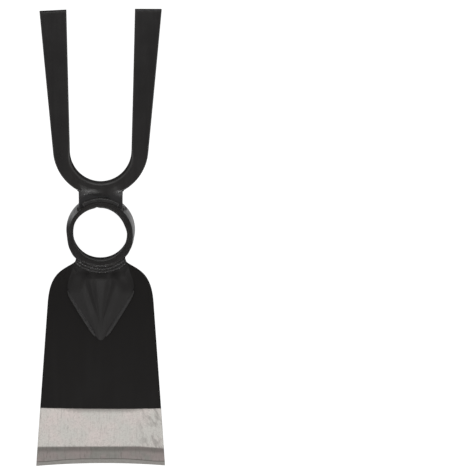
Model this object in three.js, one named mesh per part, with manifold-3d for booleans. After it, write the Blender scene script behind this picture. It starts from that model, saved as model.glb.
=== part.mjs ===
// The steel head of a double-ended garden hand hoe: a flat hoe blade and a two-tine fork, joined by a
// tapered round eye that takes the handle. It is a rigid weldment, and nothing on it moves.
//
// Millimetres. The head lies front face up: +Z runs up the eye's axis, +Y out along the fork, and the
// origin is under the middle of the head. The eye's wide rear rim, the blade's edge and the tine tips
// rest at Z = 0. Blade and fork are each drawn pointing along +Y from the eye's axis, as a plan outline
// and a side profile of reach and height, and the blade is then turned half round.
import * as THREE from "three";
import { mergeVertices } from "three/addons/utils/BufferGeometryUtils.js";
import Module from "manifold-3d";

const wasm = await Module();
wasm.setup();

// Clearance between neighbouring pieces.
const gap = 0.3;

// The eye.
const eyeHeight = 36;
const eyeFrontBore = 29.8;
const eyeRearBore = 32.1;
const eyeFrontWall = 3;
const eyeRearWall = 3.6;
const eyeChamfer = 0.5;

// The blade. Reaches are from the eye's axis, lengths from the eye's front rim.
const bladeReach = 136.4;
const neckThickness = 4.2;
const bladeThickness = 3;
const bladeTurn = THREE.MathUtils.degToRad(16);
const bladeDrop = 3.8;
const edgeWidth = 74.1;
const edgeThickness = 0.9;
const edgeHollow = 1.5;
const bevelLength = 12;
const neckWidth = 27.6;
const neckFillet = 2.2;
const shoulderWidth = 59.5;
const shoulderLength = 20.6;
const shoulderPitch = THREE.MathUtils.degToRad(28);
const shoulderInset = 0.7;
const shoulderFullness = 0.54;
const shoulderSquareness = 1.08;

// The gusset on the blade's front.
const gussetWidth = 37.8;
const gussetSideLength = 11.6;
const gussetLength = 42.8;
const gussetNose = 2.4;
const gussetRise = 3.6;
const gussetNoseRise = 1;
const fluteSpread = 13;
const fluteNoseSpread = 3.6;
const fluteDiameter = 9;
const fluteNoseDiameter = 3.2;
const fluteDepth = 0.9;

// The fork.
const forkReach = 125.9;
const forkTurn = THREE.MathUtils.degToRad(14);
const forkDrop = 4.6;
const barDepth = 10;
const barWidth = 9.5;
const bendWidth = 7.9;
const tineGap = 34.6;
const tipGap = 38.9;
const tipWidth = 15.2;
const tipThickness = 4;
const tipChamfer = 1.2;

// The saddle between the eye and the fork.
const saddleWidth = 24.9;
const saddleLength = 1.5;
const saddleDip = 1.6;
const saddleRoot = 12;
const saddleWaist = 0.3;

// The weld beads.
const collarBead = 4.2;
const collarBeadDrop = 1.1;
const rearBead = 8;
const rearBeadDrop = 5;
const gussetBead = 1.5;
const gussetBeadRise = 0.8;
const saddleBead = 2;
const saddleFrontBead = 1.8;

// Fineness of round shapes.
const eyeSides = 96;
const curveSegments = 16;
const archSegments = 28;
const fluteSides = 24;

// Half the length of a cutting shape, so that it runs past everything on the head.
const beyond = 200;

const lacquer = { color: 0x23211f, roughness: 0.42, metalness: 0.35 };

const eyeFrontRadius = eyeFrontBore / 2 + eyeFrontWall;
const eyeRearRadius = eyeRearBore / 2 + eyeRearWall;
const bendReach = Math.max(eyeFrontRadius, eyeRearRadius) + saddleLength;
const bendRadius = tineGap / 2 + barWidth;
const bendCentre = new THREE.Vector2(0, bendReach + bendRadius);
const saddleFront = eyeHeight - forkDrop - saddleDip;
const gussetSideReach = eyeFrontRadius + gussetSideLength;
const gussetNoseReach = eyeFrontRadius + gussetLength;
const gussetEndReach = gussetNoseReach + gussetNose;

// A side line that starts and ends at two points of reach and height, and steepens by a turn between.
class Arch {
  constructor(start, end, turn) {
    const chord = end.clone().sub(start);
    const startPitch = chord.angle() + turn / 2;
    this.radius = chord.length() / 2 / Math.sin(turn / 2);
    this.centre = start.clone();
    this.centre.x += this.radius * Math.sin(startPitch);
    this.centre.y -= this.radius * Math.cos(startPitch);
  }

  // The height over a reach, on the arch raised by a rise.
  heightAt(reach, rise = 0) {
    const across = reach - this.centre.x;
    return this.centre.y + Math.sqrt((this.radius + rise) ** 2 - across ** 2);
  }

  // Draws along the raised arch from one reach to another.
  draw(path, from, to, rise = 0) {
    const radius = this.radius + rise;
    const fromAngle = Math.acos((from - this.centre.x) / radius);
    const toAngle = Math.acos((to - this.centre.x) / radius);
    path.absarc(this.centre.x, this.centre.y, radius, fromAngle, toAngle, to > from);
  }
}

const bladeFront = new Arch(
  new THREE.Vector2(0, eyeHeight - bladeDrop),
  new THREE.Vector2(bladeReach, bladeThickness),
  bladeTurn,
);
const bladeRear = new Arch(
  new THREE.Vector2(0, eyeHeight - bladeDrop - neckThickness),
  new THREE.Vector2(bladeReach, 0),
  bladeTurn,
);
const forkFront = new Arch(
  new THREE.Vector2(bendReach, eyeHeight - forkDrop),
  new THREE.Vector2(forkReach, tipThickness),
  forkTurn,
);
const forkRear = new Arch(
  new THREE.Vector2(bendReach, eyeHeight - forkDrop - barDepth),
  new THREE.Vector2(forkReach, 0),
  forkTurn,
);

// A closed geometry as a solid that can be joined and cut.
function solidOf(geometry) {
  const bare = geometry.clone();
  bare.deleteAttribute("normal");
  bare.deleteAttribute("uv");
  const merged = mergeVertices(bare);
  const vertProperties = merged.attributes.position.array;
  const triVerts = new Uint32Array(merged.index.array);
  return new wasm.Manifold(new wasm.Mesh({ numProp: 3, vertProperties, triVerts }));
}

// A plan outline raised from one height to another.
function prism(outline, low, high) {
  const settings = { depth: high - low, bevelEnabled: false, curveSegments };
  const geometry = new THREE.ExtrudeGeometry(outline, settings);
  return solidOf(geometry.translate(0, 0, low));
}

// A plan outline raised past the head's front and rear.
function trimTo(outline) {
  return prism(outline, -beyond, beyond);
}

// A side profile of reach and height, run out past both sides of the head.
function slab(profile) {
  const settings = { depth: 2 * beyond, bevelEnabled: false, curveSegments: archSegments };
  const geometry = new THREE.ExtrudeGeometry(profile, settings).translate(0, 0, -beyond);
  const across = new THREE.Vector3(1, 0, 0);
  const out = new THREE.Vector3(0, 1, 0);
  const up = new THREE.Vector3(0, 0, 1);
  return solidOf(geometry.applyMatrix4(new THREE.Matrix4().makeBasis(out, up, across)));
}

// A profile of radius and height, spun about the eye's axis.
function turned(profile) {
  const points = profile.map(([radius, height]) => new THREE.Vector2(radius, height));
  return solidOf(new THREE.LatheGeometry(points, eyeSides).rotateX(Math.PI / 2));
}

// The outline that is the same either side of the centre line, from the path of its right half.
function symmetricOutline(half) {
  const right = half.getPoints(curveSegments);
  const left = right.filter((point) => Math.abs(point.x) > 1e-6).reverse();
  return new THREE.Shape([...right, ...left.map((point) => new THREE.Vector2(-point.x, point.y))]);
}

// A closed outline with straight sides.
function polygon(points) {
  return new THREE.Shape(points.map(([x, y]) => new THREE.Vector2(x, y)));
}

// A strip of the given width that runs out along the centre line from the eye's axis.
function centreStrip(width) {
  return polygon([
    [width / 2, 0],
    [width / 2, bladeReach],
    [-width / 2, bladeReach],
    [-width / 2, 0],
  ]);
}

// The eye's outer radius at a height.
function eyeRadiusAt(height) {
  return THREE.MathUtils.lerp(eyeRearRadius, eyeFrontRadius, height / eyeHeight);
}

// The eye's outer cone, filled in and widened, for cutting its neighbours clear of it.
function eyeCore(margin) {
  const low = -eyeHeight;
  const high = 2 * eyeHeight;
  return turned([
    [0, low],
    [eyeRadiusAt(low) + margin, low],
    [eyeRadiusAt(high) + margin, high],
    [0, high],
  ]);
}

// The fork's outer bend as an upright cylinder, for cutting the saddle and its beads clear of it.
function bendCore(margin) {
  const radius = bendRadius + margin;
  const cylinder = new THREE.CylinderGeometry(radius, radius, 2 * beyond, eyeSides);
  return solidOf(cylinder.rotateX(Math.PI / 2).translate(bendCentre.x, bendCentre.y, 0));
}

function makeEyeCollar() {
  const frontBore = eyeFrontBore / 2;
  const rearBore = eyeRearBore / 2;
  return turned([
    [rearBore + eyeChamfer, 0],
    [eyeRearRadius - eyeChamfer, 0],
    [eyeRearRadius, eyeChamfer],
    [eyeFrontRadius, eyeHeight - eyeChamfer],
    [eyeFrontRadius - eyeChamfer, eyeHeight],
    [frontBore + eyeChamfer, eyeHeight],
    [frontBore, eyeHeight - eyeChamfer],
    [rearBore, eyeChamfer],
    [rearBore + eyeChamfer, 0],
  ]);
}

// The blade's section: an arched plate whose front is bevelled down to the cutting edge.
function bladeProfile() {
  const bevelReach = bladeReach - bevelLength;
  const profile = new THREE.Shape();
  bladeRear.draw(profile, 0, bladeReach);
  profile.lineTo(bladeReach, edgeThickness);
  bladeFront.draw(profile, bevelReach, 0);
  return profile;
}

// The blade's plan: a neck, round shoulders, sides that splay a little and a hollow edge.
function bladeOutline() {
  const neck = neckWidth / 2;
  const shoulder = new THREE.Vector2(shoulderWidth / 2, eyeFrontRadius + shoulderLength);
  const edge = new THREE.Vector2(edgeWidth / 2, bladeReach);
  const leave = new THREE.Vector2(neck + neckFillet, eyeFrontRadius - shoulderInset);
  const out = (shoulder.x - leave.x) * shoulderFullness;
  const down = edge.clone().sub(shoulder).setLength((shoulder.x - leave.x) * shoulderSquareness);
  const half = new THREE.Path();
  half.moveTo(neck, 0);
  half.lineTo(neck, leave.y - neckFillet);
  half.quadraticCurveTo(neck, leave.y - neckFillet * Math.tan(shoulderPitch), leave.x, leave.y);
  half.bezierCurveTo(
    leave.x + out * Math.cos(shoulderPitch),
    leave.y + out * Math.sin(shoulderPitch),
    shoulder.x - down.x,
    shoulder.y - down.y,
    shoulder.x,
    shoulder.y,
  );
  half.lineTo(edge.x, edge.y);
  half.quadraticCurveTo(edge.x / 2, edge.y - edgeHollow, 0, edge.y - edgeHollow);
  return symmetricOutline(half);
}

function makeBladePlate() {
  return slab(bladeProfile()).intersect(trimTo(bladeOutline())).subtract(eyeCore(gap));
}

// The gusset's plan: a shield that narrows to a nose, widened or narrowed by a margin.
function gussetOutline(margin = 0) {
  const half = new THREE.Path();
  half.moveTo(0, 0);
  half.lineTo(gussetWidth / 2 + margin, 0);
  half.lineTo(gussetWidth / 2 + margin, gussetSideReach + margin / 2);
  half.lineTo(gussetNose / 2 + margin, gussetNoseReach + margin / 2);
  half.lineTo(0, gussetNoseReach + margin / 2);
  return symmetricOutline(half);
}

// The height of the gusset's front over a reach.
function gussetFrontAt(reach) {
  const root = bladeFront.heightAt(eyeFrontRadius, gussetRise);
  const nose = bladeFront.heightAt(gussetNoseReach, gussetNoseRise);
  return THREE.MathUtils.mapLinear(reach, eyeFrontRadius, gussetNoseReach, root, nose);
}

// The gusset's section, from the blade's front up to its own sloping front.
function gussetProfile() {
  const profile = new THREE.Shape();
  bladeFront.draw(profile, 0, gussetEndReach, gap);
  profile.lineTo(gussetEndReach, gussetFrontAt(gussetEndReach));
  profile.lineTo(0, gussetFrontAt(0));
  return profile;
}

// A point on the axis of a flute's cutter, over a reach and clear of the gusset's front.
function flutePoint(across, reach, diameter) {
  return new THREE.Vector3(across, reach, gussetFrontAt(reach) + diameter / 2 - fluteDepth);
}

// One flute: a tapered groove that runs down the gusset beside its middle rib.
function flute(side) {
  const root = flutePoint((side * fluteSpread) / 2, eyeFrontRadius, fluteDiameter);
  const nose = flutePoint((side * fluteNoseSpread) / 2, gussetNoseReach, fluteNoseDiameter);
  const run = nose.clone().sub(root);
  const length = run.length();
  const cutter = new THREE.CylinderGeometry(fluteNoseDiameter / 2, fluteDiameter / 2, length, fluteSides);
  const up = new THREE.Vector3(0, 1, 0);
  const turn = new THREE.Quaternion().setFromUnitVectors(up, run.normalize());
  const middle = root.lerp(nose, 1 / 2);
  return solidOf(cutter.applyQuaternion(turn).translate(middle.x, middle.y, middle.z));
}

function makeGusset() {
  return slab(gussetProfile())
    .intersect(trimTo(gussetOutline()))
    .intersect(trimTo(bladeOutline()))
    .subtract(eyeCore(collarBead + 2 * gap))
    .subtract(flute(1))
    .subtract(flute(-1));
}

// The bead along one edge of the gusset, laid on the blade's front.
function makeGussetBead(side) {
  const profile = new THREE.Shape();
  bladeFront.draw(profile, 0, gussetEndReach, gap);
  bladeFront.draw(profile, gussetEndReach, 0, gap + gussetBeadRise);
  const start = eyeFrontRadius + gap;
  const end = gussetNoseReach - gussetNose;
  const inner = side > 0 ? gap : -gussetWidth;
  const outer = side > 0 ? gussetWidth : -gap;
  const half = polygon([
    [inner, start],
    [outer, start],
    [outer, end],
    [inner, end],
  ]);
  return slab(profile)
    .intersect(trimTo(gussetOutline(gap + gussetBead)))
    .subtract(trimTo(gussetOutline(gap)))
    .intersect(trimTo(half))
    .intersect(trimTo(bladeOutline()));
}

// The blade's section with the clearance added to both faces.
function clearOfBlade() {
  const profile = new THREE.Shape();
  bladeRear.draw(profile, -eyeFrontRadius, bladeReach, -gap);
  bladeFront.draw(profile, bladeReach, -eyeFrontRadius, gap);
  return profile;
}

// The front fillet between the eye and the blade, as wide as the blade's neck.
function makeFrontCollarBead() {
  const high = eyeHeight - collarBeadDrop;
  const low = bladeFront.heightAt(eyeFrontRadius, -neckThickness / 2);
  const outer = eyeFrontRadius + gap + collarBead;
  const ring = turned([
    [eyeRadiusAt(low) + gap, low],
    [outer, low],
    [outer, high - collarBeadDrop],
    [eyeRadiusAt(high) + gap, high],
    [eyeRadiusAt(low) + gap, low],
  ]);
  return ring.intersect(trimTo(centreStrip(neckWidth))).subtract(slab(clearOfBlade()));
}

// The rear fillet between the eye and the blade.
function makeRearCollarBead() {
  const high = bladeRear.heightAt(0);
  const low = bladeRear.heightAt(eyeRearRadius) - rearBeadDrop;
  const ring = turned([
    [eyeRadiusAt(low) + gap, low],
    [eyeRadiusAt(high) + gap + rearBead, high],
    [eyeRadiusAt(high) + gap, high],
    [eyeRadiusAt(low) + gap, low],
  ]);
  return ring.intersect(trimTo(centreStrip(neckWidth - 2 * gap))).subtract(slab(clearOfBlade()));
}

// The saddle's plan: a block with slightly waisted sides, widened by a margin.
function saddleOutline(margin = 0) {
  const half = saddleWidth / 2 + margin;
  const path = new THREE.Path();
  path.moveTo(half, 0);
  path.quadraticCurveTo(half - saddleWaist, bendReach / 2, half, bendCentre.y);
  return symmetricOutline(path);
}

function makeSaddle() {
  const rear = eyeHeight - forkDrop - barDepth;
  const profile = polygon([
    [0, saddleFront],
    [bendCentre.y, saddleFront],
    [bendCentre.y, rear],
    [bendReach + saddleLength, rear],
    [eyeRearRadius - saddleLength, saddleRoot],
    [0, saddleRoot],
  ]);
  return slab(profile)
    .intersect(trimTo(saddleOutline()))
    .subtract(eyeCore(gap))
    .subtract(bendCore(gap));
}

// The angle at which a straight line to a point leaves a round bend on its right side.
function tangentAngle(centre, radius, point) {
  const run = point.clone().sub(centre);
  return run.angle() - Math.acos(radius / run.length());
}

// The fork's plan: a round bend whose two arms widen towards their tips.
function forkOutline() {
  const outerTip = new THREE.Vector2(tipGap / 2 + tipWidth, forkReach);
  const innerTip = new THREE.Vector2(tipGap / 2, forkReach);
  const innerRadius = tineGap / 2;
  const innerCentre = new THREE.Vector2(0, bendReach + bendWidth + innerRadius);
  const outerAngle = tangentAngle(bendCentre, bendRadius, outerTip);
  const innerAngle = tangentAngle(innerCentre, innerRadius, innerTip);
  const down = -Math.PI / 2;
  const half = new THREE.Path();
  half.absarc(bendCentre.x, bendCentre.y, bendRadius, down, outerAngle, false);
  half.lineTo(outerTip.x, outerTip.y);
  half.lineTo(innerTip.x, innerTip.y);
  half.absarc(innerCentre.x, innerCentre.y, innerRadius, innerAngle, down, true);
  return symmetricOutline(half);
}

// The fork's section: a bar that thins towards chamfered tips.
function forkProfile() {
  const profile = new THREE.Shape();
  forkRear.draw(profile, bendReach, forkReach);
  profile.lineTo(forkReach, tipThickness - tipChamfer);
  forkFront.draw(profile, forkReach - tipChamfer, bendReach);
  return profile;
}

function makeForkBar() {
  return slab(forkProfile()).intersect(trimTo(forkOutline()));
}

// The front fillet between the eye and the saddle.
function makeFrontSaddleBead() {
  const low = saddleFront + gap;
  const high = low + saddleFrontBead;
  const ring = turned([
    [eyeRadiusAt(low) + gap, low],
    [eyeRadiusAt(low) + gap + saddleFrontBead, low],
    [eyeRadiusAt(high) + gap, high],
    [eyeRadiusAt(low) + gap, low],
  ]);
  return ring
    .intersect(trimTo(centreStrip(saddleWidth - 2 * saddleWaist)))
    .subtract(bendCore(gap));
}

// The rear fillet between the eye and the saddle.
function makeRearSaddleBead() {
  const high = saddleRoot - gap;
  const low = high - saddleBead;
  const ring = turned([
    [eyeRadiusAt(low) + gap, low],
    [eyeRadiusAt(high) + gap + saddleBead / 2, high],
    [eyeRadiusAt(high) + gap, high],
    [eyeRadiusAt(low) + gap, low],
  ]);
  return ring.intersect(trimTo(centreStrip(saddleWidth - 2 * saddleWaist)));
}

// A fillet in the corner between the eye and one side of the saddle.
function makeSaddleBead(side) {
  const inner = side * (saddleWidth / 2 - saddleWaist);
  const outer = side * (saddleWidth / 2 + saddleBead);
  const corner = Math.sqrt(eyeFrontRadius ** 2 - (saddleWidth / 2) ** 2);
  const outline = polygon([
    [inner, 0],
    [inner, corner + saddleBead * 2],
    [outer, corner - saddleBead / 2],
    [outer, 0],
  ]);
  return prism(outline, saddleRoot + saddleBead, saddleFront)
    .subtract(trimTo(saddleOutline(gap)))
    .subtract(eyeCore(gap));
}

// A fillet in the corner between the fork's bend and one side of the saddle.
function makeForkBead(side) {
  const inner = side * (saddleWidth / 2 - saddleWaist);
  const outer = side * (saddleWidth / 2 + saddleBead);
  const corner = bendCentre.y - Math.sqrt(bendRadius ** 2 - (saddleWidth / 2) ** 2);
  const outline = polygon([
    [inner, corner - saddleBead * 2],
    [inner, bendCentre.y],
    [outer, bendCentre.y],
    [outer, corner + saddleBead / 2],
  ]);
  const low = forkRear.heightAt(bendReach) + gap;
  const high = saddleFront;
  return prism(outline, low, high)
    .subtract(trimTo(saddleOutline(gap)))
    .subtract(bendCore(gap));
}

// A named mesh of a solid, with its own lacquer.
function pieceOf(name, solid) {
  const { numProp, vertProperties, triVerts } = solid.getMesh();
  const positions = new THREE.InterleavedBuffer(vertProperties, numProp);
  const geometry = new THREE.BufferGeometry();
  geometry.setAttribute("position", new THREE.InterleavedBufferAttribute(positions, 3, 0));
  geometry.setIndex(new THREE.BufferAttribute(triVerts, 1));
  geometry.computeVertexNormals();
  const mesh = new THREE.Mesh(geometry, new THREE.MeshStandardMaterial(lacquer));
  mesh.name = name;
  return mesh;
}

const head = new THREE.Group();
head.position.y = (bladeReach - forkReach) / 2;
head.add(pieceOf("eye_collar", makeEyeCollar()));

// The blade side is drawn out along the fork's side, so its left and right swap when it is turned.
const bladeSide = new THREE.Group();
bladeSide.rotation.z = Math.PI;
bladeSide.add(pieceOf("blade_plate", makeBladePlate()));
bladeSide.add(pieceOf("blade_gusset", makeGusset()));
bladeSide.add(pieceOf("collar_weld_front", makeFrontCollarBead()));
bladeSide.add(pieceOf("collar_weld_rear", makeRearCollarBead()));
bladeSide.add(pieceOf("gusset_weld_left", makeGussetBead(1)));
bladeSide.add(pieceOf("gusset_weld_right", makeGussetBead(-1)));
head.add(bladeSide);

const forkSide = new THREE.Group();
forkSide.add(pieceOf("saddle_block", makeSaddle()));
forkSide.add(pieceOf("fork_bar", makeForkBar()));
forkSide.add(pieceOf("saddle_weld_front", makeFrontSaddleBead()));
forkSide.add(pieceOf("saddle_weld_rear", makeRearSaddleBead()));
for (const [name, side] of [["left", -1], ["right", 1]]) {
  forkSide.add(pieceOf(`saddle_weld_${name}`, makeSaddleBead(side)));
  forkSide.add(pieceOf(`fork_weld_${name}`, makeForkBead(side)));
}
head.add(forkSide);

export default head;
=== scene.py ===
from math import acos, asin, atan2, cos, degrees, exp, hypot, pi, radians, sin, sqrt

import bmesh
import bpy
import numpy as np
from mathutils import Matrix, Vector, noise
from mathutils.bvhtree import BVHTree


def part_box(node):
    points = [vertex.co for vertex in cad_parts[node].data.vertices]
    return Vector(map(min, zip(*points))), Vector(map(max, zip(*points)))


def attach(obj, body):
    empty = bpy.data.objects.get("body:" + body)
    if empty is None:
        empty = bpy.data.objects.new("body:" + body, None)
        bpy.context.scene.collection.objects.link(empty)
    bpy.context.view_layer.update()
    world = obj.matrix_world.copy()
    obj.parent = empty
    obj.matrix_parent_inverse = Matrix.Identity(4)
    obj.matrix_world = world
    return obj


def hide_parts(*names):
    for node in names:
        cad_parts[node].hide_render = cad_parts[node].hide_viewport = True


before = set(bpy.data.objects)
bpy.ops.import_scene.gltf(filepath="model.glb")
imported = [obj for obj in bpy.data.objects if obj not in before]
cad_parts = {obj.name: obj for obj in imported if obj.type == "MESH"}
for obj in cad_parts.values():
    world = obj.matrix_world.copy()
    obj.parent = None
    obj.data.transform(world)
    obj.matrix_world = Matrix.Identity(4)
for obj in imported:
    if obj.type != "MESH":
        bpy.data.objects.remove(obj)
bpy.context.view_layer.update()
mm = 0.001
eyeLow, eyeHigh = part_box("eye_collar")
axisY = (eyeLow.y + eyeHigh.y) / 2  # the eye's axis stands at X = 0 and this Y
eyeTop = eyeHigh.z
surfaces = {}
print("frame loaded:", len(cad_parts), "CAD parts")


# reading the CAD parts


def touch(node, start, direction):
    # where a line first meets a CAD part
    if node not in surfaces:
        whole = bmesh.new()
        whole.from_mesh(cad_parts[node].data)
        surfaces[node] = BVHTree.FromBMesh(whole)
        whole.free()
    return surfaces[node].ray_cast(Vector(start), Vector(direction))[0]


def heightLine(node, places, front):
    # a smooth line of height over Y, through points of a CAD part's front or rear
    start, down = (1, -1) if front else (-1, 1)
    heights = [touch(node, (x, y, start), (0, 0, down)).z for x, y in places]
    return np.poly1d(np.polyfit([y for x, y in places], heights, 3))


def smooth(share):
    # an easing from 0 to 1
    share = min(max(share, 0), 1)
    return share * share * (3 - 2 * share)


def ease(value, start, run):
    # 0 up to the start and 1 from the end of the run
    return smooth((value - start) / run)


def lerp(start, end, share):
    return start + (end - start) * share


def bell(distance, width):
    return exp(-((distance / width) ** 2))


# making meshes

beadShape = {
    "sides": 14,
    "stations": 5,  # to each ripple
    "taper": 0.1,  # share of the length in which each end thins
    "blunt": 0.02,  # how thick the end stays, squared
    "uneven": 0.12,
    "unevenRate": 0.09,
    "ripple": 0.05,
    "pitch": 1.7,  # mm between ripples
    "ringTaper": 0.12,
    "ringBlunt": 0.06,
    "ringUneven": 0.06,
    "ringRate": (9, 400, 400),  # for each radian round, and each metre out and up
}


def vertsOf(parts):
    return [part for part in parts if isinstance(part, bmesh.types.BMVert)]


def edgesOf(parts):
    return [part for part in parts if isinstance(part, bmesh.types.BMEdge)]


def plate(columns, rows, place):
    # a grid thickened to a plate; place(across, along, front) gives each point, with shares from 0 to 1
    bm = bmesh.new()
    bmesh.ops.create_grid(bm, x_segments=columns, y_segments=rows, size=1)
    for vert in vertsOf(bmesh.ops.extrude_face_region(bm, geom=bm.faces[:])["geom"]):
        vert.co.z = 1
    for vert in bm.verts:
        vert.co = place((vert.co.x + 1) / 2, (vert.co.y + 1) / 2, vert.co.z > 0.5)
    bmesh.ops.recalc_face_normals(bm, faces=bm.faces[:])
    return bm


def roundEdges(bm, width, segments, chosen=None, sharper=50):
    # bevels the chosen edges whose faces meet at more than an angle
    limit = radians(sharper)
    edges = [e for e in bm.edges if e.calc_face_angle(0) > limit and (not chosen or chosen(e))]
    settings = {"offset_type": "OFFSET", "profile": 0.5, "affect": "EDGES", "clamp_overlap": True}
    bmesh.ops.bevel(bm, geom=edges, offset=width, segments=segments, material=-1, **settings)


def bead(stations):
    # a weld bead: a ring of a given radius carried along stations of (point, run, up, radius)
    bm = bmesh.new()
    verts = bmesh.ops.create_circle(bm, segments=beadShape["sides"], radius=1)["verts"]
    edges = bm.edges[:]
    first = edges
    last = Matrix.Identity(4)
    for index, (point, run, up, radius) in enumerate(stations):
        if index:
            grown = bmesh.ops.extrude_edge_only(bm, edges=edges)["geom"]
            verts = vertsOf(grown)
            edges = [e for e in edgesOf(grown) if all(v in verts for v in e.verts)]
        run = run.normalized()
        side = run.cross(up).normalized()
        top = side.cross(run)
        turn = Matrix((side, top, -run)).transposed().to_4x4()
        here = Matrix.Translation(point) @ turn @ Matrix.Scale(radius, 4)
        bmesh.ops.transform(bm, matrix=here @ last.inverted(), verts=verts)
        last = here
    bmesh.ops.edgeloop_fill(bm, edges=first)
    bmesh.ops.edgeloop_fill(bm, edges=edges)
    bmesh.ops.recalc_face_normals(bm, faces=bm.faces[:])
    return bm


def alongPath(points, step):
    # points a step apart along a chain of straight runs
    out = []
    for start, end in zip(points, points[1:]):
        count = max(1, round((end - start).length / step))
        out += [start.lerp(end, index / count) for index in range(count)]
    return out + [points[-1]]


def beadAlong(path, up, values, seed):
    # a rippled bead on a path, with thin ends and an uneven hand
    shape = beadShape
    points = alongPath(path, values["pitch"] * mm / shape["stations"])
    total = len(points) - 1
    stations = []
    for index, point in enumerate(points):
        before = points[max(index - 1, 0)]
        after = points[min(index + 1, total)]
        share = index / total
        taper = min(1, sqrt(min(share, 1 - share) / shape["taper"] + shape["blunt"]))
        wave = 1 + values["ripple"] * abs(sin(pi * index / shape["stations"]))
        uneven = 1 + shape["uneven"] * noise.noise(Vector((index * shape["unevenRate"], seed, 0)))
        radius = values["radius"] * mm * taper * wave * uneven
        stations.append((point, after - before, up, radius))
    return bead(stations)


def spin(bm, geom, angle, steps, merge):
    # carries a profile round the eye's axis
    centre = (0, axisY, 0)
    return bmesh.ops.spin(
        bm, geom=geom, cent=centre, axis=(0, 0, 1), angle=angle, steps=steps, use_merge=merge
    )


def ringBead(profile, middle, span, steps):
    # a weld round part of the eye: a closed profile of radius and height in mm, spun and then rippled
    shape = beadShape
    bm = bmesh.new()
    span = radians(span)
    start = middle - span / 2
    profile = [(radius * mm, z * mm) for radius, z in profile]
    verts = [bm.verts.new((r * cos(start), axisY + r * sin(start), z)) for r, z in profile]
    edges = [bm.edges.new((verts[i - 1], verts[i])) for i in range(len(verts))]
    ends = edgesOf(spin(bm, verts + edges, span, steps, False)["geom_last"])
    bmesh.ops.edgeloop_fill(bm, edges=edges)
    bmesh.ops.edgeloop_fill(bm, edges=ends)
    bmesh.ops.recalc_face_normals(bm, faces=bm.faces[:])
    rootRadius = min(r for r, z in profile)
    rootHeight = min(z for r, z in profile)
    for vert in bm.verts:
        radius = hypot(vert.co.x, vert.co.y - axisY)
        angle = atan2(vert.co.y - axisY, vert.co.x)
        offset = (angle - middle + pi) % (2 * pi) - pi
        share = abs(offset) / (span / 2)
        taper = sqrt(max(shape["ringBlunt"], min(1, (1 - share) / shape["ringTaper"])))
        wave = 1 + shape["ripple"] * abs(sin(pi * offset * radius / (shape["pitch"] * mm)))
        spot = Vector((offset, radius, vert.co.z)) * Vector(shape["ringRate"])
        wave += shape["ringUneven"] * noise.noise(spot)
        radius = rootRadius + (radius - rootRadius) * taper * wave
        vert.co.z = rootHeight + (vert.co.z - rootHeight) * taper * wave
        vert.co.x = radius * cos(angle)
        vert.co.y = axisY + radius * sin(angle)
    return bm


def addObject(name, data):
    made = bpy.data.objects.new(name, data)
    bpy.context.scene.collection.objects.link(made)
    return made


def makePiece(bm, name, node, material, crease=38):
    mesh = bpy.data.meshes.new(name)
    bm.to_mesh(mesh)
    bm.free()
    mesh.shade_smooth()
    mesh.set_sharp_from_angle(angle=radians(crease))
    mesh.materials.append(material)
    piece = addObject(name, mesh)
    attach(piece, "root")
    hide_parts(node)
    print("made", name, len(mesh.polygons), "faces")


# materials


def addNode(tree, kind, inputs=None, **settings):
    node = tree.nodes.new(kind)
    for key, value in settings.items():
        setattr(node, key, value)
    for key, value in (inputs or {}).items():
        if isinstance(value, bpy.types.NodeSocket):
            tree.links.new(value, node.inputs[key])
        else:
            node.inputs[key].default_value = value
    return node


def calc(tree, operation, *values, clamp=False):
    # one step of arithmetic, on numbers or sockets
    inputs = dict(enumerate(values))
    return addNode(tree, "ShaderNodeMath", inputs, operation=operation, use_clamp=clamp).outputs[0]


def plus(tree, first, second):
    return calc(tree, "ADD", first, second)


def minus(tree, first, second):
    return calc(tree, "SUBTRACT", first, second)


def times(tree, first, second):
    return calc(tree, "MULTIPLY", first, second)


def band(tree, value, low, high, first=0.0, last=1.0):
    # a smooth step as a value goes from low to high
    inputs = {"Value": value, "From Min": low, "From Max": high, "To Min": first, "To Max": last}
    node = addNode(tree, "ShaderNodeMapRange", inputs, interpolation_type="SMOOTHSTEP")
    return node.outputs["Result"]


def speckle(tree, scale, stretch=(1, 1, 1), detail=3.0, roughness=0.5, shift=(0, 0, 0), turn=0):
    # noise on the object's own coordinates; scale counts the spots in a metre, turn is in degrees about Z
    place = addNode(tree, "ShaderNodeTexCoord").outputs["Object"]
    if turn:
        turned = addNode(tree, "ShaderNodeVectorRotate", {"Vector": place, "Angle": radians(turn)})
        place = turned.outputs[0]
    inputs = {"Vector": place, "Scale": stretch, "Location": shift}
    mapped = addNode(tree, "ShaderNodeMapping", inputs).outputs[0]
    inputs = {"Vector": mapped, "Scale": scale, "Detail": detail, "Roughness": roughness}
    return addNode(tree, "ShaderNodeTexNoise", inputs).outputs["Fac"]


def newMaterial(name):
    material = bpy.data.materials.new(name)
    material.use_nodes = True
    tree = material.node_tree
    return material, tree, tree.nodes["Principled BSDF"]


def finishSkin(tree, shader, colour, rough, height, step, specular):
    # joins the parts of a skin to its shader; step is the height of the relief in metres
    bump = addNode(tree, "ShaderNodeBump", {"Height": height, "Distance": step})
    ends = {"Base Color": colour, "Roughness": rough, "Normal": bump.outputs[0]}
    for key, value in ends.items():
        tree.links.new(value, shader.inputs[key])
    shader.inputs["Specular IOR Level"].default_value = specular


def objectPlace(tree):
    # the object's own X, Y and Z in metres
    place = addNode(tree, "ShaderNodeTexCoord").outputs["Object"]
    return addNode(tree, "ShaderNodeSeparateXYZ", {"Vector": place}).outputs


def mixColour(tree, share, first, second):
    node = addNode(tree, "ShaderNodeMix", data_type="RGBA")
    for socket, value in zip((0, 6, 7), (share, first, second)):
        if isinstance(value, bpy.types.NodeSocket):
            tree.links.new(value, node.inputs[socket])
        else:
            node.inputs[socket].default_value = value
    return node.outputs[2]


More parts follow.
